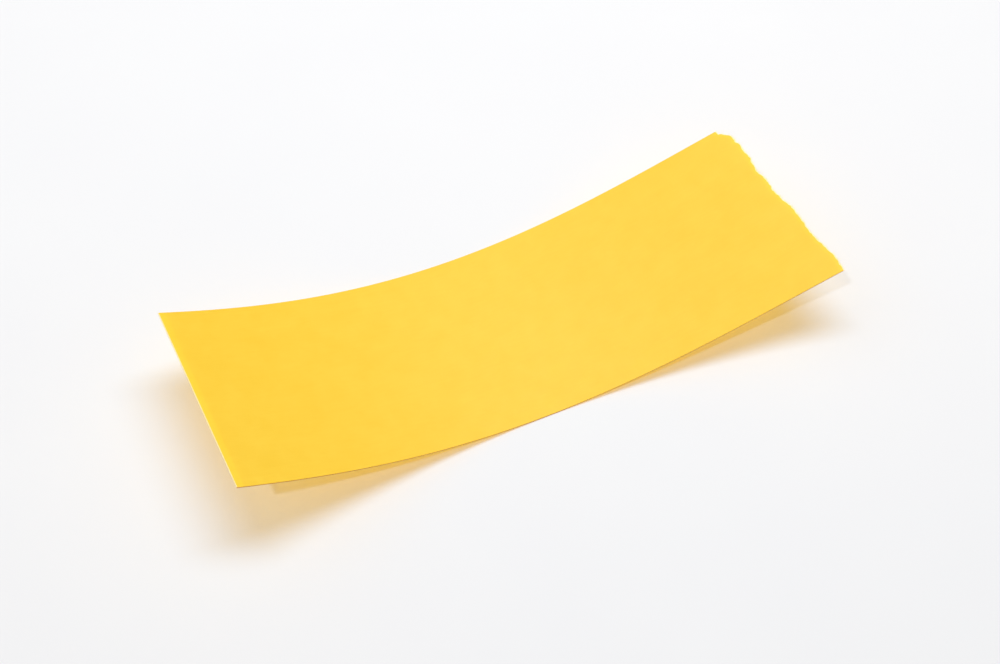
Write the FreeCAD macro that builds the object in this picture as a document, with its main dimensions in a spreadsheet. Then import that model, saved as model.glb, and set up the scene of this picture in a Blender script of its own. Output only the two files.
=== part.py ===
import FreeCAD, Part
import math
import os

import Sketcher

# A torn-off strip of paper tape that rests on the middle of its sticky underside.
#
# The tape is a laminate of five bonded layers. All of them follow one curl: a short flat land
# where the adhesive touches the table, an arc on each side of it, and a straight tip at each end.
# Each layer is drawn with its curl bending about the Y axis, and the slit edges of the strip run a
# few degrees off the direction of the curl. The layer is then turned about Z by that angle, so that
# the slit edges run along X in the part.
#
# Origin: on the underside, in the middle of the land. +X points to the torn end, +Z up.

# Driving dimensions in millimetres and degrees.
DIMENSIONS = (
    ("strip_width", 15.0),  # between the slit edges
    ("strip_length", 46.7),  # flat length along the centre line
    ("curl_skew", 5.5),  # between the slit edges and the direction of the curl
    ("cut_slant", 3.3),  # of the cut end, off square
    ("torn_slant", 10.1),  # of the torn end, off square
    ("tack_land", 3.0),  # flat contact strip under the middle
    ("cut_flank_radius", 32.5),  # underside radius between the land and the cut tip
    ("cut_flank_turn", 25.5),  # how far that arc turns
    ("torn_flank_radius", 35.0),  # underside radius between the land and the torn tip
    ("torn_flank_turn", 18.0),  # how far that arc turns
    ("adhesive_thickness", 0.026),
    ("primer_thickness", 0.004),
    ("paper_thickness", 0.060),
    ("colour_thickness", 0.006),
    ("release_thickness", 0.004),
    ("print_setback", 0.08),  # how far the brittle coats break behind the torn paper fibres
    ("adhesive_setback", 0.05),  # how far the adhesive snaps back behind them
)

# The torn edge from the front slit edge (-1) to the back one (+1): the place across the strip as a
# share of its half width, and how far the paper reaches past a straight tear, in millimetres.
TEAR = (
    (-1.000, 0.00),
    (-0.945, 0.06),
    (-0.880, 0.16),
    (-0.820, 0.21),
    (-0.745, 0.16),
    (-0.665, 0.14),
    (-0.600, 0.10),
    (-0.510, 0.10),
    (-0.425, 0.12),
    (-0.335, 0.24),
    (-0.265, 0.29),
    (-0.140, 0.36),
    (-0.075, 0.29),
    (-0.035, 0.19),
    (0.020, 0.23),
    (0.065, 0.18),
    (0.110, 0.18),
    (0.160, 0.26),
    (0.215, 0.29),
    (0.245, 0.36),
    (0.295, 0.34),
    (0.345, 0.25),
    (0.385, 0.25),
    (0.430, 0.33),
    (0.495, 0.46),
    (0.540, 0.58),
    (0.575, 0.60),
    (0.640, 0.57),
    (0.695, 0.64),
    (0.740, 0.68),
    (0.785, 0.57),
    (0.815, 0.66),
    (0.870, 0.62),
    (0.940, 0.25),
    (0.955, 0.00),
    (1.000, 0.00),
)

# Turns a sketch so that its X stays along the strip and its Y points up.
SEEN_FROM_THE_SIDE = FreeCAD.Rotation(FreeCAD.Vector(1, 0, 0), 90)

# How far a layer's volume may be from its flat area times its thickness, as a share. A curled layer
# is trimmed in plan, which changes its area by well under this, while a lost stretch is far more.
VOLUME_TOLERANCE = 0.02


class Formula:
    """A number from the spreadsheet and the expression that keeps a size bound to it."""

    def __init__(self, value, text):
        self.value = value
        self.text = text

    def __add__(self, other):
        other = formula(other)
        return Formula(self.value + other.value, f"({self.text} + {other.text})")

    def __sub__(self, other):
        other = formula(other)
        return Formula(self.value - other.value, f"({self.text} - {other.text})")

    def __mul__(self, other):
        other = formula(other)
        return Formula(self.value * other.value, f"{self.text} * {other.text}")

    def __truediv__(self, other):
        other = formula(other)
        return Formula(self.value / other.value, f"{self.text} / {other.text}")

    def __neg__(self):
        return self * -1


def formula(number):
    """A plain number as a formula; a formula stays as it is."""
    if isinstance(number, Formula):
        return number
    return Formula(number, f"({number!r})")


def trigonometry(name, angle):
    """sin, cos or tan of a formula in degrees."""
    value = getattr(math, name)(math.radians(angle.value))
    return Formula(value, f"{name}({angle.text})")


def make_sheet(document):
    """The spreadsheet, and each of its cells as a formula under its alias."""
    sheet = document.addObject("Spreadsheet::Sheet", "Dimensions")
    cells = {}
    for row, (alias, value) in enumerate(DIMENSIONS, start=1):
        sheet.set(f"A{row}", alias)
        sheet.set(f"B{row}", str(value))
        sheet.setAlias(f"B{row}", alias)
        cells[alias] = Formula(value, f"{sheet.Name}.{alias}")
    document.recompute()
    return cells


def drive(sketch, kind, places, size):
    """Adds a constraint whose size is bound to the spreadsheet."""
    index = sketch.addConstraint(Sketcher.Constraint(kind, *places, size.value))
    sketch.setExpression(f"Constraints[{index}]", size.text)


def place(sketch, geometry, end, across, along):
    """Fixes one end of a sketch element at a distance from the sketch's origin."""
    drive(sketch, "DistanceX", (-1, 1, geometry, end), across)
    drive(sketch, "DistanceY", (-1, 1, geometry, end), along)


def line(start, end):
    """A straight sketch element between two (x, y) places."""
    return Part.LineSegment(FreeCAD.Vector(*start), FreeCAD.Vector(*end))


def add_side(sketch, cells, depth, side):
    """Draws the flank and the tip of one face on the cut side (-1) or the torn side (1).

    Returns their indexes. The flank's centre is straight above the end of the land, so that the
    land runs into it smoothly, and the tip carries on straight from it.
    """
    name = "cut" if side < 0 else "torn"
    radius = cells[f"{name}_flank_radius"] - depth
    turn = cells[f"{name}_flank_turn"]
    tip_length = (cells["strip_length"] + cells["strip_width"]) / 2
    angle = math.radians(turn.value)
    centre = FreeCAD.Vector(side * cells["tack_land"].value / 2, cells[f"{name}_flank_radius"].value)
    outwards = FreeCAD.Vector(side * math.cos(angle), math.sin(angle))
    to_tip = FreeCAD.Vector(side * math.sin(angle), -math.cos(angle))
    near = centre + to_tip * radius.value
    far = near + outwards * tip_length.value
    lowest = -math.pi / 2
    arc = sorted((lowest, lowest + side * angle))
    circle = Part.Circle(centre, FreeCAD.Vector(0, 0, 1), radius.value)
    tip_ends = (near, far) if side > 0 else (far, near)
    flank = sketch.addGeometry(Part.ArcOfCircle(circle, *arc), False)
    tip = sketch.addGeometry(Part.LineSegment(*tip_ends), False)
    drive(sketch, "Radius", (flank,), radius)
    drive(sketch, "Angle", (flank,), turn)
    drive(sketch, "Distance", (tip,), tip_length)
    return flank, tip


def draw_curl(sketch, cells, depth):
    """Draws the tape seen from the side, as the one line of a face that lies at this depth.

    Its five elements run from left to right, join end to end and are tangent: cut tip, cut flank,
    land, torn flank, torn tip.
    """
    half_land = cells["tack_land"] / 2
    cut_flank, cut_tip = add_side(sketch, cells, depth, -1)
    torn_flank, torn_tip = add_side(sketch, cells, depth, 1)
    left = (-half_land.value, depth.value)
    right = (half_land.value, depth.value)
    land = sketch.addGeometry(line(left, right), False)
    place(sketch, land, 1, -half_land, depth)
    place(sketch, land, 2, half_land, depth)
    chain = (cut_tip, cut_flank, land, torn_flank, torn_tip)
    for before, after in zip(chain, chain[1:]):
        sketch.addConstraint(Sketcher.Constraint("Tangent", before, 2, after, 1))


def plan_place(cells, along, across, side):
    """Where a point of the flat strip lies in plan once the strip is curled.

    along runs down the strip from its middle and across runs over it, towards the back edge. The
    point is on the straight tip of that side, the cut one (-1) or the torn one (1).
    """
    name = "cut" if side < 0 else "torn"
    skew = cells["curl_skew"]
    radius = cells[f"{name}_flank_radius"]
    turn = cells[f"{name}_flank_turn"]
    half_land = cells["tack_land"] / 2
    reach = (along * trigonometry("cos", skew) + across * trigonometry("sin", skew)) * side
    on_tip = reach - half_land - radius * turn * (math.pi / 180)
    x = half_land + radius * trigonometry("sin", turn) + on_tip * trigonometry("cos", turn)
    y = across * trigonometry("cos", skew) - along * trigonometry("sin", skew)
    return x * side, y


def flat_outline(cells, setback):
    """The corners of the flat strip, anticlockwise from the front corner of the cut end.

    Each is its place along the strip and across it, and the side whose tip it is on. setback is how
    far the torn edge of this layer lies behind the one of the paper.
    """
    half_length = cells["strip_length"] / 2
    half_width = cells["strip_width"] / 2
    cut_lean = half_width * trigonometry("tan", cells["cut_slant"])
    torn_slope = trigonometry("tan", cells["torn_slant"])
    corners = [(cut_lean - half_length, -half_width, -1)]
    for share, reach in TEAR:
        across = half_width * share
        corners.append((half_length - across * torn_slope + reach - setback, across, 1))
    corners.append((-cut_lean - half_length, half_width, -1))
    return corners


def enclosed_area(corners):
    """The area inside a loop of flat corners, in square millimetres."""
    places = [(along.value, across.value) for along, across, _ in corners]
    following = places[1:] + places[:1]
    return sum(x * v - u * y for (x, y), (u, v) in zip(places, following)) / 2


def draw_outline(sketch, cells, corners):
    """Draws the strip seen from above, as a closed loop of straight lines."""
    places = [plan_place(cells, *corner) for corner in corners]
    points = [(x.value, y.value) for x, y in places]
    following = points[1:] + points[:1]
    edges = [sketch.addGeometry(line(*pair), False) for pair in zip(points, following)]
    for edge, after in zip(edges, edges[1:] + edges[:1]):
        sketch.addConstraint(Sketcher.Constraint("Coincident", edge, 2, after, 1))
    for edge, (x, y) in zip(edges, places):
        place(sketch, edge, 1, x, y)


def extrude(document, sketch, length, solid):
    """A sketch extruded by the same reach on both sides of its plane."""
    extrusion = document.addObject("Part::Extrusion", f"{sketch.Name}_extruded")
    extrusion.Base = sketch
    extrusion.DirMode = "Normal"
    extrusion.LengthFwd = length.value
    extrusion.setExpression("LengthFwd", length.text)
    extrusion.Symmetric = True
    extrusion.Solid = solid
    return extrusion


def make_layer(document, cells, label, low, thickness, setback):
    """One layer of the tape, whose lower face lies at a height above the underside.

    An endless curled face is trimmed to the strip's outline and thickened along its own normal, so
    that the edges of the layer are square to its faces.
    """
    skew = cells["curl_skew"]
    reach = cells["strip_length"] + cells["strip_width"]
    span = cells["strip_width"] + reach * trigonometry("sin", skew)
    corners = flat_outline(cells, setback)

    curl = document.addObject("Sketcher::SketchObject", f"{label}_curl")
    curl.Placement = FreeCAD.Placement(FreeCAD.Vector(0, 0, 0), SEEN_FROM_THE_SIDE)
    draw_curl(curl, cells, low)
    outline = document.addObject("Sketcher::SketchObject", f"{label}_outline")
    draw_outline(outline, cells, corners)

    face = document.addObject("Part::Common", f"{label}_face")
    face.Base = extrude(document, curl, span, solid=False)
    face.Tool = extrude(document, outline, reach, solid=True)
    layer = document.addObject("Part::Offset", label)
    layer.Label = label
    layer.Source = face
    layer.Fill = True
    layer.Value = thickness.value
    layer.setExpression("Value", thickness.text)
    document.recompute()
    layer.Placement = FreeCAD.Placement(
        FreeCAD.Vector(0, 0, 0), FreeCAD.Rotation(FreeCAD.Vector(0, 0, 1), skew.value)
    )
    layer.setExpression("Placement.Rotation.Angle", f"{skew.text} * 1 deg")
    document.recompute()

    flat_volume = enclosed_area(corners) * thickness.value
    if abs(layer.Shape.Volume / flat_volume - 1) > VOLUME_TOLERANCE:
        raise ValueError(f"{label}: {layer.Shape.Volume:.3f} mm3 where flat it is {flat_volume:.3f}")
    if layer.Shape.BoundBox.ZMin < low.value - thickness.value / 2:
        raise ValueError(f"{label}: thickened downwards")
    return layer


def check(document, layers):
    """Stops the build if any object failed or any layer isn't one valid solid."""
    for item in document.Objects:
        if {"Invalid", "Error"} & set(item.State):
            raise ValueError(f"{item.Label}: {item.State}")
    for layer in layers:
        shape = layer.Shape
        if shape.isNull() or not shape.isValid() or len(shape.Solids) != 1:
            raise ValueError(f"{layer.Label}: not one valid solid")


def main():
    document = FreeCAD.newDocument("paper_tape_strip")
    cells = make_sheet(document)
    no_setback = formula(0.0)
    build_up = (
        ("adhesive_layer", "adhesive_thickness", cells["adhesive_setback"]),
        ("primer_coat", "primer_thickness", no_setback),
        ("paper_backing", "paper_thickness", no_setback),
        ("colour_coat", "colour_thickness", cells["print_setback"]),
        ("release_coat", "release_thickness", cells["print_setback"]),
    )
    layers = []
    low = formula(0.0)
    for label, thickness, setback in build_up:
        layers.append(make_layer(document, cells, label, low, cells[thickness], setback))
        low = low + cells[thickness]
    check(document, layers)
    os.makedirs("parts", exist_ok=True)
    for layer in layers:
        layer.Shape.exportStep(f"parts/{layer.Label}.step")
        print(f"{layer.Label}: {layer.Shape.Volume:.4f} mm3")


main()
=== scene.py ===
"""A short strip of yellow paper tape, torn off its roll and left lying on a pale table.

The strip is a laminate: a printed face, a web of long-fibre paper and a film of adhesive. It keeps
some of the roll's curl, so it rests on its middle and both of its ends stand clear of the table.
"""

import logging
import math
import random
from dataclasses import dataclass, field
from enum import Enum

import bmesh
import bpy
from mathutils import Matrix, Vector, noise


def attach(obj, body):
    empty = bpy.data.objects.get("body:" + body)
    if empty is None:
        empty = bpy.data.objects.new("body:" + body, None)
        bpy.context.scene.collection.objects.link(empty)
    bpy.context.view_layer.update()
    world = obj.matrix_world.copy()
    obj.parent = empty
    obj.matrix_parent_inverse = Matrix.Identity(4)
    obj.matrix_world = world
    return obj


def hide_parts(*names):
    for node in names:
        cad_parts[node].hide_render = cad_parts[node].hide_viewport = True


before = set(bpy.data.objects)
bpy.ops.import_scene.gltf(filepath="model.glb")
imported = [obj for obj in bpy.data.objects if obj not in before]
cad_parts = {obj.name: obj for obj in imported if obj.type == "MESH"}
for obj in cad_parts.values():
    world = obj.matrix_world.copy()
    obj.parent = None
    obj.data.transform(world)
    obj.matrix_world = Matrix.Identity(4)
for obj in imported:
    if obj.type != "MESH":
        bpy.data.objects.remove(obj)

MM = 0.001
BODY = "root"

# Sockets that share a name with another one, so they go by number.
MIX_SHARE, MIX_FIRST, MIX_SECOND, MIX_RESULT = 0, 6, 7, 2  # a Mix node that mixes colours
BLEND_SHARE, BLEND_FIRST, BLEND_SECOND = 0, 1, 2  # a Mix Shader node

# The row of Blender's noise that each wander along the tear is read from.
RAGGED_ROW = 3.7
SETBACK_ROW = 9.1

CREASE = math.radians(50)

log = logging.getLogger("tape_strip")


class Side(Enum):
    """The four kinds of surface on a layer, each in its own material slot."""

    OPEN = 0
    TOUCHING = 1
    EDGE = 2
    SLIT = 3


def linear(colour: str) -> tuple[float, float, float, float]:
    """Turns an sRGB hex colour into linear light.

    Args:
        colour: the colour, as "#RRGGBB".

    Returns:
        Linear red, green and blue, and an alpha of one.
    """
    parts = [int(colour[i : i + 2], 16) / 255 for i in (1, 3, 5)]
    red, green, blue = (
        p / 12.92 if p <= 0.04045 else ((p + 0.055) / 1.055) ** 2.4 for p in parts
    )
    return red, green, blue, 1.0


def per_metre(size: float) -> float:
    """The texture scale that gives a pattern its size, in millimetres."""
    return 1 / (size * MM)


def ease(share: float) -> float:
    """A smooth step from 0 to 1 as share goes from 0 to 1."""
    share = min(max(share, 0.0), 1.0)
    return share * share * (3 - 2 * share)


def add_node(
    tree: bpy.types.NodeTree, kind: str, inputs: dict | None = None, **settings
) -> bpy.types.Node:
    """Adds one node to a tree, with its settings and links.

    Args:
        tree: the node tree.
        kind: the node's type, such as "ShaderNodeBump".
        inputs: a value, or an output socket to link from, for each input's name or number.
        settings: the node's own properties.

    Returns:
        The new node.
    """
    node = tree.nodes.new(kind)
    for name, value in settings.items():
        setattr(node, name, value)
    for name, value in (inputs or {}).items():
        if isinstance(value, bpy.types.NodeSocket):
            tree.links.new(value, node.inputs[name])
        else:
            node.inputs[name].default_value = value
    return node


def new_material(name: str) -> tuple[bpy.types.Material, bpy.types.NodeTree]:
    """Makes an empty node material.

    Args:
        name: the material's name.

    Returns:
        The material and its cleared node tree.
    """
    material = bpy.data.materials.new(name)
    material.use_nodes = True
    material.node_tree.nodes.clear()
    return material, material.node_tree


def show(
    material: bpy.types.Material, surface: bpy.types.NodeSocket, passed: str
) -> bpy.types.Material:
    """Finishes a thin, see-through sheet's material.

    Most of what goes through such a sheet goes straight on, so a lamp behind it is tinted and only a
    little spread. As a stand-in for that, rays towards the lamps pass straight through with a tint,
    and every other ray meets the surface. So the sheet doesn't share out its light exactly.

    Args:
        material: the material.
        surface: the shader that the sheet shows.
        passed: the colour of the light that goes straight on.

    Returns:
        The finished material.
    """
    tree = material.node_tree
    ray = add_node(tree, "ShaderNodeLightPath")
    straight = add_node(tree, "ShaderNodeBsdfTransparent", {"Color": linear(passed)})
    seen = add_node(
        tree,
        "ShaderNodeMixShader",
        {
            BLEND_SHARE: ray.outputs["Is Shadow Ray"],
            BLEND_FIRST: surface,
            BLEND_SECOND: straight.outputs["BSDF"],
        },
    )
    add_node(tree, "ShaderNodeOutputMaterial", {"Surface": seen.outputs["Shader"]})
    return material


# ---------------------------------------------------------------------------------------------
# Finishes
# ---------------------------------------------------------------------------------------------


@dataclass(frozen=True)
class PrintedWashi:
    """Yellow ink and matt release varnish, roll-printed on long-fibre paper.

    The eye sees an even, matt yellow with the faint cloudiness of the paper below it, a soft satin
    bloom from the varnish, and light coming through from behind.
    """

    deep: str = "#FCCD2A"
    pale: str = "#FFD336"
    light_through: str = "#F6DC5A"
    passed: str = "#DDC659"
    cloud: float = 1.6
    fibre: float = 0.22
    fibre_stretch: float = 7.0
    fibre_turns: tuple[float, float] = (24.0, -38.0)
    through: float = 0.22

    def material(self) -> bpy.types.Material:
        """Builds the material.

        Returns:
            The material for the face of the tape.
        """
        material, tree = new_material("roll_printed_matt_yellow_washi")
        place = add_node(tree, "ShaderNodeTexCoord").outputs["Object"]
        # Paper formation: pulp settles in soft clouds one to two millimetres wide.
        cloud = add_node(
            tree,
            "ShaderNodeTexNoise",
            {
                "Vector": place,
                "Scale": per_metre(self.cloud),
                "Detail": 4.0,
                "Roughness": 0.55,
            },
        )
        # Long fibres lie both ways across the web. Real ones are 0.02 mm wide, so they're drawn
        # ten times coarser to show at all.
        streaks = []
        for turn in self.fibre_turns:
            along = add_node(
                tree,
                "ShaderNodeMapping",
                {
                    "Vector": place,
                    "Rotation": (0.0, 0.0, math.radians(turn)),
                    "Scale": (1.0, self.fibre_stretch, 1.0),
                },
            )
            streaks.append(
                add_node(
                    tree,
                    "ShaderNodeTexNoise",
                    {
                        "Vector": along.outputs["Vector"],
                        "Scale": per_metre(self.fibre * self.fibre_stretch),
                        "Detail": 3.0,
                        "Roughness": 0.6,
                        "Distortion": 0.8,
                    },
                )
            )
        fibres = add_node(
            tree,
            "ShaderNodeMath",
            {0: streaks[0].outputs["Fac"], 1: streaks[1].outputs["Fac"]},
            operation="MAXIMUM",
        )
        body = add_node(
            tree,
            "ShaderNodeMath",
            {
                0: cloud.outputs["Fac"],
                1: fibres.outputs["Value"],
            },
            operation="ADD",
        )
        share = add_node(
            tree,
            "ShaderNodeMapRange",
            {
                "Value": body.outputs["Value"],
                "From Min": 0.75,
                "From Max": 1.35,
            },
        )
        ink = add_node(
            tree,
            "ShaderNodeMix",
            {
                MIX_SHARE: share.outputs["Result"],
                MIX_FIRST: linear(self.deep),
                MIX_SECOND: linear(self.pale),
            },
            data_type="RGBA",
        )
        roughness = add_node(
            tree,
            "ShaderNodeMapRange",
            {
                "Value": fibres.outputs["Value"],
                "From Min": 0.3,
                "From Max": 0.8,
                "To Min": 0.5,
                "To Max": 0.62,
            },
        )
        relief = add_node(
            tree,
            "ShaderNodeBump",
            {
                "Strength": 0.35,
                "Distance": 0.012 * MM,
                "Height": body.outputs["Value"],
            },
        )
        face = add_node(
            tree,
            "ShaderNodeBsdfPrincipled",
            {
                "Base Color": ink.outputs[MIX_RESULT],
                "Roughness": roughness.outputs["Result"],
                "IOR": 1.46,
                "Coat Weight": 0.1,
                "Coat Roughness": 0.58,
                "Coat IOR": 1.45,
                "Sheen Weight": 0.04,
                "Sheen Roughness": 0.5,
                "Normal": relief.outputs["Normal"],
            },
        )
        glow = add_node(
            tree,
            "ShaderNodeBsdfTranslucent",
            {"Color": linear(self.light_through), "Normal": relief.outputs["Normal"]},
        )
        both = add_node(
            tree,
            "ShaderNodeMixShader",
            {
                BLEND_SHARE: self.through,
                BLEND_FIRST: face.outputs["BSDF"],
                BLEND_SECOND: glow.outputs["BSDF"],
            },
        )
        return show(material, both.outputs["Shader"], self.passed)


@dataclass(frozen=True)
class TornPaper:
    """Unprinted long-fibre paper, where the slitter cut it or a tear laid it open.

    The eye sees a pale cream, dry and slightly fuzzy surface.
    """

    deep: str = "#F6E7A6"
    pale: str = "#FFF8DC"
    passed: str = "#D8CFA8"
    fleck: float = 0.09
    through: float = 0.4

    def material(self) -> bpy.types.Material:
        """Builds the material.

        Returns:
            The material for the paper's edges and loose fibres.
        """
        material, tree = new_material("torn_long_fibre_paper")
        place = add_node(tree, "ShaderNodeTexCoord").outputs["Object"]
        # Fibre ends, drawn at 0.09 mm, which is over four times a real fibre's width.
        fleck = add_node(
            tree,
            "ShaderNodeTexNoise",
            {
                "Vector": place,
                "Scale": per_metre(self.fleck),
                "Detail": 3.0,
                "Roughness": 0.65,
            },
        )
        tone = add_node(
            tree,
            "ShaderNodeMix",
            {
                MIX_SHARE: fleck.outputs["Fac"],
                MIX_FIRST: linear(self.deep),
                MIX_SECOND: linear(self.pale),
            },
            data_type="RGBA",
        )
        relief = add_node(
            tree,
            "ShaderNodeBump",
            {
                "Strength": 0.5,
                "Distance": 0.01 * MM,
                "Height": fleck.outputs["Fac"],
            },
        )
        paper = add_node(
            tree,
            "ShaderNodeBsdfPrincipled",
            {
                "Base Color": tone.outputs[MIX_RESULT],
                "Roughness": 0.9,
                "IOR": 1.5,
                "Specular IOR Level": 0.3,
                "Sheen Weight": 0.2,
                "Sheen Roughness": 0.6,
                "Normal": relief.outputs["Normal"],
            },
        )
        glow = add_node(
            tree, "ShaderNodeBsdfTranslucent", {"Color": tone.outputs[MIX_RESULT]}
        )
        both = add_node(
            tree,
            "ShaderNodeMixShader",
            {
                BLEND_SHARE: self.through,
                BLEND_FIRST: paper.outputs["BSDF"],
                BLEND_SECOND: glow.outputs["BSDF"],
            },
        )
        return show(material, both.outputs["Shader"], self.passed)


@dataclass(frozen=True)
class RollCoatedAdhesive:
    """Clear acrylic adhesive, roll-coated on the paper's back and left tacky.

    The eye sees the tinted paper through it, a shade paler than the print, under a wet-looking
    satin with a fine orange peel from the coating roller.
    """

    deep: str = "#E6C45A"
    pale: str = "#ECCF70"
    light_through: str = "#F6DC5A"
    passed: str = "#DDC659"
    peel: float = 0.35
    cloud: float = 1.8
    through: float = 0.22

    def material(self) -> bpy.types.Material:
        """Builds the material.

        Returns:
            The material for the sticky underside.
        """
        material, tree = new_material("roll_coated_clear_acrylic_adhesive")
        place = add_node(tree, "ShaderNodeTexCoord").outputs["Object"]
        cloud = add_node(
            tree,
            "ShaderNodeTexNoise",
            {"Vector": place, "Scale": per_metre(self.cloud), "Detail": 4.0},
        )
        tone = add_node(
            tree,
            "ShaderNodeMix",
            {
                MIX_SHARE: cloud.outputs["Fac"],
                MIX_FIRST: linear(self.deep),
                MIX_SECOND: linear(self.pale),
            },
            data_type="RGBA",
        )
        peel = add_node(
            tree,
            "ShaderNodeTexNoise",
            {"Vector": place, "Scale": per_metre(self.peel), "Detail": 1.0},
        )
        relief = add_node(
            tree,
            "ShaderNodeBump",
            {
                "Strength": 0.4,
                "Distance": 0.01 * MM,
                "Height": peel.outputs["Fac"],
            },
        )
        film = add_node(
            tree,
            "ShaderNodeBsdfPrincipled",
            {
                "Base Color": tone.outputs[MIX_RESULT],
                "Roughness": 0.38,
                "IOR": 1.47,
                "Coat Weight": 0.4,
                "Coat Roughness": 0.22,
                "Coat IOR": 1.47,
                "Normal": relief.outputs["Normal"],
            },
        )
        glow = add_node(
            tree,
            "ShaderNodeBsdfTranslucent",
            {"Color": linear(self.light_through), "Normal": relief.outputs["Normal"]},
        )
        both = add_node(
            tree,
            "ShaderNodeMixShader",
            {
                BLEND_SHARE: self.through,
                BLEND_FIRST: film.outputs["BSDF"],
                BLEND_SECOND: glow.outputs["BSDF"],
            },
        )
        return show(material, both.outputs["Shader"], self.passed)


@dataclass(frozen=True)
class SlitEdge:
    """The long sides, where the slitting knife cut through print, paper and glue.

    The eye sees a thin amber line, darker than the face. The amber is the ink and glue in the cut,
    painted darker than their own colour as painted shade for the edge.
    """

    # Painted shade: this amber is darker than the cut's own ink and glue colour, standing in for the
    # shade along the edge.
    amber: str = "#E2A03C"
    passed: str = "#C9964A"
    roughness: float = 0.55

    def material(self) -> bpy.types.Material:
        """Builds the material.

        Returns:
            The material for the laminate's two long sides.
        """
        material, tree = new_material("slit_edge_with_painted_shade")
        surface = add_node(
            tree,
            "ShaderNodeBsdfPrincipled",
            {"Base Color": linear(self.amber), "Roughness": self.roughness},
        )
        return show(material, surface.outputs["BSDF"], self.passed)


@dataclass(frozen=True)
class BondedFace:
    """A face that the next layer is bonded to, with no air between them to reflect light.

    It only spreads the light that goes through, so the laminate shines and glows as one sheet.
    """

    tint: str = "#C4C3BC"
    passed: str = "#FFFEFA"

    def material(self) -> bpy.types.Material:
        """Builds the material.

        Returns:
            The material for faces inside the laminate.
        """
        material, tree = new_material("bonded_inner_face")
        spread = add_node(
            tree, "ShaderNodeBsdfTranslucent", {"Color": linear(self.tint)}
        )
        return show(material, spread.outputs["BSDF"], self.passed)


@dataclass(frozen=True)
class PaperTable:
    """Smooth white paper on a table top.

    The eye sees a plain, very slightly uneven white that takes soft shadows.
    """

    deep: str = "#DBDBDC"
    pale: str = "#DEDEDE"
    cloud: float = 14.0
    grain: float = 0.3

    def material(self) -> bpy.types.Material:
        """Builds the material.

        Returns:
            The material for the table.
        """
        material, tree = new_material("smooth_white_paper")
        place = add_node(tree, "ShaderNodeTexCoord").outputs["Object"]
        cloud = add_node(
            tree,
            "ShaderNodeTexNoise",
            {"Vector": place, "Scale": per_metre(self.cloud), "Detail": 3.0},
        )
        tone = add_node(
            tree,
            "ShaderNodeMix",
            {
                MIX_SHARE: cloud.outputs["Fac"],
                MIX_FIRST: linear(self.deep),
                MIX_SECOND: linear(self.pale),
            },
            data_type="RGBA",
        )
        grain = add_node(
            tree,
            "ShaderNodeTexNoise",
            {"Vector": place, "Scale": per_metre(self.grain), "Detail": 2.0},
        )
        relief = add_node(
            tree,
            "ShaderNodeBump",
            {
                "Strength": 0.1,
                "Distance": 0.01 * MM,
                "Height": grain.outputs["Fac"],
            },
        )
        paper = add_node(
            tree,
            "ShaderNodeBsdfPrincipled",
            {
                "Base Color": tone.outputs[MIX_RESULT],
                "Roughness": 0.85,
                "Specular IOR Level": 0.2,
                "Normal": relief.outputs["Normal"],
            },
        )
        add_node(
            tree, "ShaderNodeOutputMaterial", {"Surface": paper.outputs["BSDF"]}
        )
        return material


# ---------------------------------------------------------------------------------------------
# Shape
# ---------------------------------------------------------------------------------------------


@dataclass
class Curl:
    """The bend that the strip keeps from its roll.

    The strip bends about lines that cross it at a slight skew. Its curvature changes smoothly with
    the distance from the line where it rests: bend + change d + fade d^2, for each millimetre.
    """

    bend: float = 0.0265038
    change: float = -0.00032477
    fade: float = -4.7669e-5
    rest: float = 0.115
    skew: float = math.radians(5.495)
    step: float = 0.1
    stations: dict[int, tuple[float, float]] = field(default_factory=dict)

    def lean(self, distance: float) -> float:
        """The slope of the strip there, as an angle."""
        return distance * (
            self.bend + distance * (self.change / 2 + distance * self.fade / 3)
        )

    def station(self, number: int) -> tuple[float, float]:
        """Where a whole number of steps along the curl ends.

        Args:
            number: steps from the resting line, negative towards the cut end.

        Returns:
            The distance travelled level and the height, in millimetres.
        """
        if number == 0:
            return 0.0, 0.0
        if number not in self.stations:
            back = 1 if number > 0 else -1
            level, height = self.station(number - back)
            lean = self.lean((number - back / 2) * self.step)
            stride = back * self.step
            self.stations[number] = (
                level + stride * math.cos(lean),
                height + stride * math.sin(lean),
            )
        return self.stations[number]

    def place(self, along: float, across: float, above: float) -> Vector:
        """Finds where a point of the flat strip goes.

        Args:
            along: millimetres from the strip's middle towards the torn end.
            across: millimetres from its centre line towards the back.
            above: millimetres above its sticky face.

        Returns:
            The place on the curled strip, in metres.
        """
        cos_skew, sin_skew = math.cos(self.skew), math.sin(self.skew)
        distance = along * cos_skew + across * sin_skew - self.rest
        beside = across * cos_skew - along * sin_skew
        number = int(distance / self.step)
        level, height = self.station(number)
        rest_of_way = distance - number * self.step
        middle = self.lean(distance - rest_of_way / 2)
        lean = self.lean(distance)
        level += rest_of_way * math.cos(middle) - above * math.sin(lean)
        height += rest_of_way * math.sin(middle) + above * math.cos(lean)
        return MM * Vector(
            (
                level * cos_skew - beside * sin_skew,
                level * sin_skew + beside * cos_skew,
                height,
            )
        )


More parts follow.
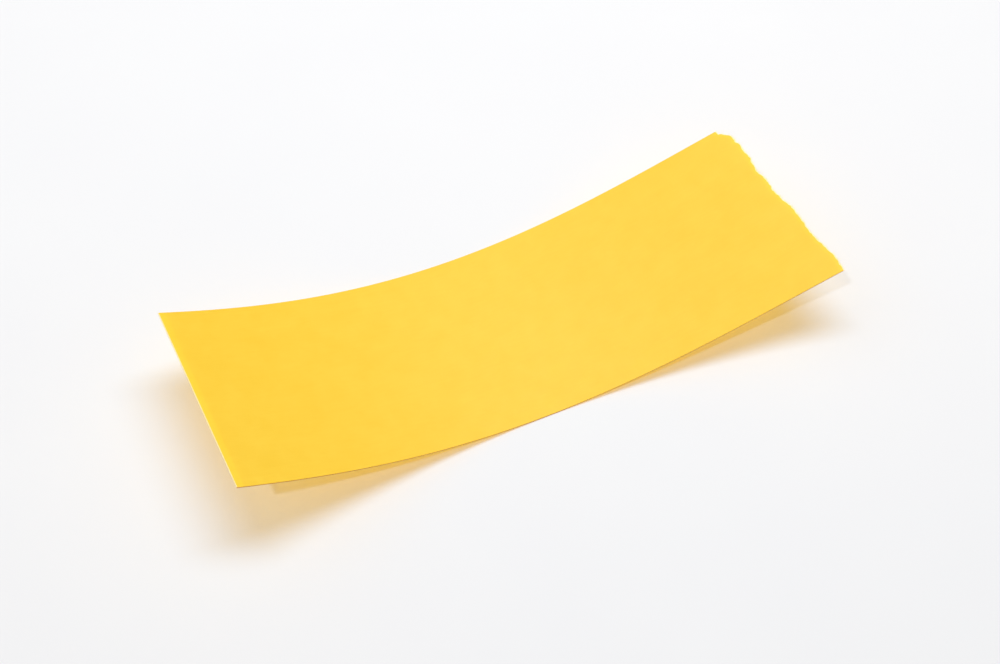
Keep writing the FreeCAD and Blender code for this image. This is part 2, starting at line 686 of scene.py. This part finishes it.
@dataclass(frozen=True)
class Outline:
    """The flat strip's outline: two slit edges, one cut end and one torn end."""

    length: float = 46.722
    width: float = 15.0
    cut_slant: float = math.radians(3.3)
    torn_slant: float = math.radians(10.13)
    raggedness: float = 0.035
    ragged_size: float = 0.22
    calm_corner: float = 0.03
    # The tear's scallops: how far across, from -1 at the front to 1 at the back, and how far the
    # paper reaches there, in millimetres. The part's source has the same points.
    tear: tuple[tuple[float, float], ...] = (
        (-1.000, 0.00),
        (-0.945, 0.06),
        (-0.880, 0.16),
        (-0.820, 0.21),
        (-0.745, 0.16),
        (-0.665, 0.14),
        (-0.600, 0.10),
        (-0.510, 0.10),
        (-0.425, 0.12),
        (-0.335, 0.24),
        (-0.265, 0.29),
        (-0.140, 0.36),
        (-0.075, 0.29),
        (-0.035, 0.19),
        (0.020, 0.23),
        (0.065, 0.18),
        (0.110, 0.18),
        (0.160, 0.26),
        (0.215, 0.29),
        (0.245, 0.36),
        (0.295, 0.34),
        (0.345, 0.25),
        (0.385, 0.25),
        (0.430, 0.33),
        (0.495, 0.46),
        (0.540, 0.58),
        (0.575, 0.60),
        (0.640, 0.57),
        (0.695, 0.64),
        (0.740, 0.68),
        (0.785, 0.57),
        (0.815, 0.66),
        (0.870, 0.62),
        (0.940, 0.25),
        (0.955, 0.00),
        (1.000, 0.00),
    )

    def cut_end(self, across: float) -> float:
        """Where the cut end lies along the strip, at a distance across it."""
        return -self.length / 2 - across * math.tan(self.cut_slant)

    def torn_end(self, across: float) -> float:
        """Finds where the torn end lies.

        Args:
            across: millimetres from the strip's centre line.

        Returns:
            Millimetres along the strip, with the scallops and a fine raggedness.
        """
        share = across * 2 / self.width
        reach = 0.0
        for (low, first), (high, second) in zip(self.tear, self.tear[1:]):
            if low <= share <= high:
                reach = first + (second - first) * ease((share - low) / (high - low))
        rough = noise.fractal(Vector((across / self.ragged_size, RAGGED_ROW, 0.0)), 1.0, 2.0, 3)
        inside = ease((1 - abs(share)) / self.calm_corner)
        return (
            self.length / 2
            - across * math.tan(self.torn_slant)
            + reach
            + self.raggedness * rough * inside
        )


@dataclass
class Layer:
    """One layer of the laminate, as a thin closed sheet.

    Its faces are Side.OPEN, or Side.TOUCHING where another layer is bonded to them. Its two long
    sides are Side.SLIT. Its two ends, a narrow bare band beside the tear and a narrow bare lip at
    the cut end are Side.EDGE. Sizes are in millimetres, and feather_tip is the share of the
    thickness that is left at the very end of the feathered tear.
    """

    name: str
    low: float
    high: float
    setback: float
    below: Side
    above: Side
    replaced: tuple[str, ...]
    slot: str
    materials: dict[Side, bpy.types.Material]
    outline: Outline
    curl: Curl
    setback_wander: float = 0.0
    wander_size: float = 0.35
    feather: float = 0.0
    feather_tip: float = 0.3
    bare_band: float = 0.0
    bare_lip: float = 0.0
    cut_setback: float = 0.0
    cells_along: int = 150
    cells_across: int = 220
    crowding: float = 1.7

    def grid(self) -> bmesh.types.BMesh:
        """A slab of even cells, from -1 to 1 both ways and 0 to 1 high."""
        mesh = bmesh.new()
        bmesh.ops.create_grid(
            mesh, x_segments=self.cells_along, y_segments=self.cells_across, size=1.0
        )
        raised = bmesh.ops.extrude_face_region(mesh, geom=mesh.faces[:])
        verts = [v for v in raised["geom"] if isinstance(v, bmesh.types.BMVert)]
        bmesh.ops.translate(mesh, verts=verts, vec=(0.0, 0.0, 1.0))
        bmesh.ops.recalc_face_normals(mesh, faces=mesh.faces[:])
        return mesh

    def torn_end(self, across: float) -> float:
        """Where this layer's own torn edge lies along the strip."""
        wander = noise.noise(Vector((across / self.wander_size, SETBACK_ROW + self.high, 0.0)))
        return (
            self.outline.torn_end(across) - self.setback - self.setback_wander * wander
        )

    def flat_place(self, corner: Vector) -> Vector:
        """Spreads a corner of the even slab over the strip's flat outline.

        Args:
            corner: the corner's place on the even slab.

        Returns:
            Millimetres along, across and above.
        """
        across = corner.y * self.outline.width / 2
        start = self.outline.cut_end(across) + self.cut_setback
        end = self.torn_end(across)
        share = 1 - (1 - (corner.x + 1) / 2) ** self.crowding
        along = start + (end - start) * share
        middle = (self.low + self.high) / 2
        above = self.low + (self.high - self.low) * corner.z
        if self.feather:
            whole = ease((end - along) / self.feather)
            thin = self.feather_tip + (1 - self.feather_tip) * whole
            above = middle + (above - middle) * thin
        return Vector((along, across, above))

    def paint(self, mesh: bmesh.types.BMesh) -> None:
        """Puts each face of the flat slab in its material slot, and keeps the rim crisp.

        Args:
            mesh: the flat slab, in millimetres.
        """
        middle = (self.low + self.high) / 2
        mesh.normal_update()
        for face in mesh.faces:
            centre = face.calc_center_median()
            gap = self.torn_end(centre.y) - centre.x
            lip = centre.x - self.outline.cut_end(centre.y)
            if abs(face.normal.y) > 0.8:
                side = Side.SLIT
            elif abs(face.normal.z) < 0.5 or gap < self.bare_band or lip < self.bare_lip:
                side = Side.EDGE
            else:
                side = self.above if centre.z > middle else self.below
            face.material_index = side.value
            face.smooth = True
        for edge in mesh.edges:
            edge.smooth = edge.calc_face_angle(0.0) < CREASE

    def build(self) -> bpy.types.Object:
        """Makes the layer and ties it to the frame.

        Returns:
            The layer's object.
        """
        mesh = self.grid()
        for vert in mesh.verts:
            vert.co = self.flat_place(vert.co)
        self.paint(mesh)
        for vert in mesh.verts:
            vert.co = self.curl.place(*vert.co)
        piece = finish_piece(mesh, self.name, self.replaced)
        for side in Side:
            piece.data.materials.append(self.materials[side])
        return piece


def finish_piece(
    mesh: bmesh.types.BMesh, name: str, replaced: tuple[str, ...]
) -> bpy.types.Object:
    """Turns a finished mesh into a piece that rides on the strip.

    Args:
        mesh: the mesh, in metres and in place.
        name: the piece's name.
        replaced: the CAD nodes that the piece stands for.

    Returns:
        The piece.
    """
    data = bpy.data.meshes.new(name)
    mesh.to_mesh(data)
    mesh.free()
    piece = bpy.data.objects.new(name, data)
    bpy.context.scene.collection.objects.link(piece)
    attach(piece, BODY)
    if replaced:
        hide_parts(*replaced)
    return piece


@dataclass
class TornFibres:
    """Loose fibre ends that stand out of the torn edge.

    They are drawn across this reach of the half width. Most are short. Each leaves the tear at its
    own heading, bends sideways by up to the sag and rises or dips within the lift.
    """

    outline: Outline
    curl: Curl
    material: bpy.types.Material
    name: str = "torn_fibres"
    count: int = 340
    shortest: float = 0.10
    longest: float = 0.34
    thickness: float = 0.014
    root: float = 0.06
    low: float = 0.035
    high: float = 0.082
    reach: float = 0.985
    shortness: float = 2.2
    heading_spread: float = 32.0
    sag: float = 0.25
    lift: tuple[float, float] = (-0.12, 0.18)
    seed: int = 7

    def fibre(self, draw: random.Random) -> bmesh.types.BMesh:
        """Shapes one tapered, bent fibre at the flat strip's tear.

        Args:
            draw: the source of random numbers.

        Returns:
            The fibre's mesh, in millimetres.
        """
        across = draw.uniform(-self.reach, self.reach) * self.outline.width / 2
        longer = draw.random() ** self.shortness
        length = self.shortest + (self.longest - self.shortest) * longer
        heading = math.radians(draw.gauss(0, self.heading_spread))
        sag = draw.uniform(-self.sag, self.sag)
        lift = draw.uniform(*self.lift)
        above = draw.uniform(self.low, self.high)
        mesh = bmesh.new()
        bmesh.ops.create_cone(
            mesh,
            cap_ends=True,
            segments=4,
            radius1=self.thickness / 2,
            radius2=self.thickness / 8,
            depth=length,
            matrix=Matrix.Translation((0, 0, length / 2)),
        )
        long_edges = [
            e for e in mesh.edges if abs(e.verts[0].co.z - e.verts[1].co.z) > length / 2
        ]
        bmesh.ops.subdivide_edges(mesh, edges=long_edges, cuts=3, use_grid_fill=True)
        base = self.outline.torn_end(across) - self.root
        for vert in mesh.verts:
            out, side, up = vert.co.z, vert.co.x, vert.co.y
            side += sag * out * out / length
            up += lift * out * out / length
            vert.co = Vector(
                (
                    base + out * math.cos(heading) - side * math.sin(heading),
                    across + out * math.sin(heading) + side * math.cos(heading),
                    above + up,
                )
            )
        return mesh

    def build(self) -> bpy.types.Object:
        """Makes the fibres.

        Returns:
            The object that holds every loose fibre.
        """
        draw = random.Random(self.seed)
        mesh = bmesh.new()
        single = bpy.data.meshes.new("fibre")
        for _ in range(self.count):
            fibre = self.fibre(draw)
            fibre.to_mesh(single)
            fibre.free()
            mesh.from_mesh(single)
        bpy.data.meshes.remove(single)
        for vert in mesh.verts:
            vert.co = self.curl.place(*vert.co)
        bmesh.ops.recalc_face_normals(mesh, faces=mesh.faces[:])
        for face in mesh.faces:
            face.smooth = True
        piece = finish_piece(mesh, self.name, ())
        piece.data.materials.append(self.material)
        return piece


@dataclass
class TapeStrip:
    """The laminated strip, from the adhesive up to the printed face."""

    outline: Outline = field(default_factory=Outline)
    curl: Curl = field(default_factory=Curl)
    adhesive: float = 0.026
    paper: float = 0.064
    print: float = 0.010
    air: float = 0.002

    def build(self) -> None:
        """Makes every layer, ties them together as one sheet and reports each."""
        torn = TornPaper().material()
        inner = BondedFace().material()
        printed = PrintedWashi().material()
        sticky = RollCoatedAdhesive().material()
        slit = SlitEdge().material()
        paper_low = self.adhesive + self.air / 2
        paper_high = self.adhesive + self.paper - self.air / 2
        film = Layer(
            name="adhesive_film",
            low=0.0,
            high=self.adhesive - self.air / 2,
            setback=0.05,
            setback_wander=0.03,
            cut_setback=0.03,
            below=Side.OPEN,
            above=Side.TOUCHING,
            replaced=("adhesive_layer", "primer_coat"),
            slot="adhesive",
            materials={
                Side.OPEN: sticky,
                Side.TOUCHING: inner,
                Side.EDGE: sticky,
                Side.SLIT: slit,
            },
            outline=self.outline,
            curl=self.curl,
        )
        web = Layer(
            name="paper_web",
            low=paper_low,
            high=paper_high,
            setback=0.0,
            feather=0.14,
            bare_band=0.35,
            bare_lip=0.3,
            below=Side.TOUCHING,
            above=Side.TOUCHING,
            replaced=("paper_backing",),
            slot="tape_paper",
            materials={
                Side.OPEN: torn,
                Side.TOUCHING: inner,
                Side.EDGE: torn,
                Side.SLIT: slit,
            },
            outline=self.outline,
            curl=self.curl,
        )
        face = Layer(
            name="printed_face",
            low=self.adhesive + self.paper + self.air / 2,
            high=self.adhesive + self.paper + self.print,
            setback=0.08,
            setback_wander=0.05,
            cut_setback=0.05,
            below=Side.TOUCHING,
            above=Side.OPEN,
            replaced=("colour_coat", "release_coat"),
            slot="yellow_ink",
            materials={
                Side.OPEN: printed,
                Side.TOUCHING: inner,
                Side.EDGE: printed,
                Side.SLIT: slit,
            },
            outline=self.outline,
            curl=self.curl,
        )
        pieces = [layer.build() for layer in (film, web, face)]
        fibres = TornFibres(self.outline, self.curl, torn).build()
        for piece in (*pieces, fibres):
            log.info("%s: %d faces", piece.name, len(piece.data.polygons))


# ---------------------------------------------------------------------------------------------
# Table, light and camera
# ---------------------------------------------------------------------------------------------


@dataclass
class Table:
    """The pale table that the strip lies on, a hair below it so that the two never share a plane."""

    half_width: float = 3.0
    gap: float = 0.003 * MM

    def build(self) -> bpy.types.Object:
        """Makes the table top.

        Returns:
            The table, which is tied to no body.
        """
        mesh = bmesh.new()
        bmesh.ops.create_grid(mesh, x_segments=1, y_segments=1, size=self.half_width)
        bmesh.ops.translate(mesh, verts=mesh.verts[:], vec=(0.0, 0.0, -self.gap))
        data = bpy.data.meshes.new("table")
        mesh.to_mesh(data)
        mesh.free()
        data.materials.append(PaperTable().material())
        table = bpy.data.objects.new("table", data)
        bpy.context.scene.collection.objects.link(table)
        log.info("table: %.1f m wide", 2 * self.half_width)
        return table


@dataclass(frozen=True)
class Lamp:
    """A soft, oval studio lamp that points at the strip.

    Angles are in degrees: azimuth anticlockwise from +X to where the lamp stands, elevation above
    the table, spread and spread_across for the lamp's length and width as the strip sees them, and
    lie for the way its length runs over the table. The lamp stands `away` metres from the strip.
    """

    name: str
    azimuth: float
    elevation: float
    spread: float
    spread_across: float
    watts: float
    away: float
    lie: float = -23.0

    def wide(self, spread: float) -> float:
        """Gives the real width of a lamp that is seen under the angle `spread`."""
        return 2 * self.away * math.tan(math.radians(spread) / 2)

    def build(self) -> bpy.types.Object:
        """Makes the lamp.

        Returns:
            The lamp's object.
        """
        turn, rise = math.radians(self.azimuth), math.radians(self.elevation)
        toward = Vector(
            (
                math.cos(turn) * math.cos(rise),
                math.sin(turn) * math.cos(rise),
                math.sin(rise),
            )
        )
        lie = math.radians(self.lie)
        across = toward.cross(Vector((math.cos(lie), math.sin(lie), 0))).normalized()
        length = across.cross(toward)
        data = bpy.data.lights.new(self.name, "AREA")
        data.shape = "ELLIPSE"
        data.size = self.wide(self.spread)
        data.size_y = self.wide(self.spread_across)
        data.energy = self.watts
        lamp = bpy.data.objects.new(self.name, data)
        lamp.location = toward * self.away
        lamp.rotation_mode = "QUATERNION"
        lamp.rotation_quaternion = (
            Matrix((length, across, toward)).transposed().to_quaternion()
        )
        lamp.visible_camera = False
        bpy.context.scene.collection.objects.link(lamp)
        log.info("%s: %.2f W", self.name, self.watts)
        return lamp


@dataclass
class Studio:
    """Soft daylight from above, one compact lamp, and a camera that looks down at the strip."""

    # The softbox gives most of the light and the broad, soft shadow, the window fills in from the
    # back, and the compact lamp adds a narrower, crisper shadow. All stand near, so their light
    # falls off across the table.
    lamps: tuple[Lamp, ...] = (
        Lamp(
            name="softbox",
            azimuth=48.0,
            elevation=71.0,
            spread=54.0,
            spread_across=17.0,
            watts=0.575,
            away=0.25,
        ),
        Lamp(
            name="window",
            azimuth=135.0,
            elevation=45.0,
            spread=55.0,
            spread_across=45.0,
            watts=0.14,
            away=0.3,
            lie=45.0,
        ),
        Lamp(
            name="compact_lamp",
            azimuth=214.2,
            elevation=63.7,
            spread=2.6,
            spread_across=2.6,
            watts=0.25,
            away=0.357,
        ),
    )
    room: str = "#FAFBFF"
    room_strength: float = 0.28
    lens: float = 54.0
    film: float = 36.0
    azimuth: float = -23.04
    elevation: float = 60.0
    away: float = 111.7 * MM
    target: Vector = field(
        default_factory=lambda: Vector((0.208 * MM, 0.284 * MM, 0.0))
    )

    def light_room(self) -> None:
        """Fills the room with an even, pale light."""
        world = bpy.data.worlds.new("pale_room")
        world.use_nodes = True
        tree = world.node_tree
        tree.nodes.clear()
        glow = add_node(
            tree,
            "ShaderNodeBackground",
            {"Color": linear(self.room), "Strength": self.room_strength},
        )
        add_node(
            tree, "ShaderNodeOutputWorld", {"Surface": glow.outputs["Background"]}
        )
        bpy.context.scene.world = world
        bpy.context.scene.view_settings.view_transform = "Standard"
        bpy.context.scene.view_settings.look = "None"

    def place_camera(self) -> bpy.types.Object:
        """Makes the camera.

        Returns:
            The camera, which is the scene's own.
        """
        turn, rise = math.radians(self.azimuth), math.radians(self.elevation)
        back = Vector(
            (
                math.sin(turn) * math.cos(rise),
                -math.cos(turn) * math.cos(rise),
                math.sin(rise),
            )
        )
        data = bpy.data.cameras.new("camera")
        data.lens = self.lens
        data.sensor_width = self.film
        data.clip_start = 5 * MM
        data.clip_end = 10.0
        camera = bpy.data.objects.new("camera", data)
        camera.location = self.target + back * self.away
        camera.rotation_mode = "QUATERNION"
        camera.rotation_quaternion = (-back).to_track_quat("-Z", "Y")
        bpy.context.scene.collection.objects.link(camera)
        bpy.context.scene.camera = camera
        return camera

    def build(self) -> None:
        """Sets up the light and the camera."""
        self.light_room()
        for lamp in self.lamps:
            lamp.build()
        self.place_camera()


def main() -> None:
    """Builds the strip, its table and the studio, and logs each piece's face count and the table's
    width.
    """
    logging.basicConfig(level=logging.INFO, format="%(name)s: %(message)s")
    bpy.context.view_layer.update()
    Studio().build()
    Table().build()
    TapeStrip().build()


if __name__ == "__main__":
    main()
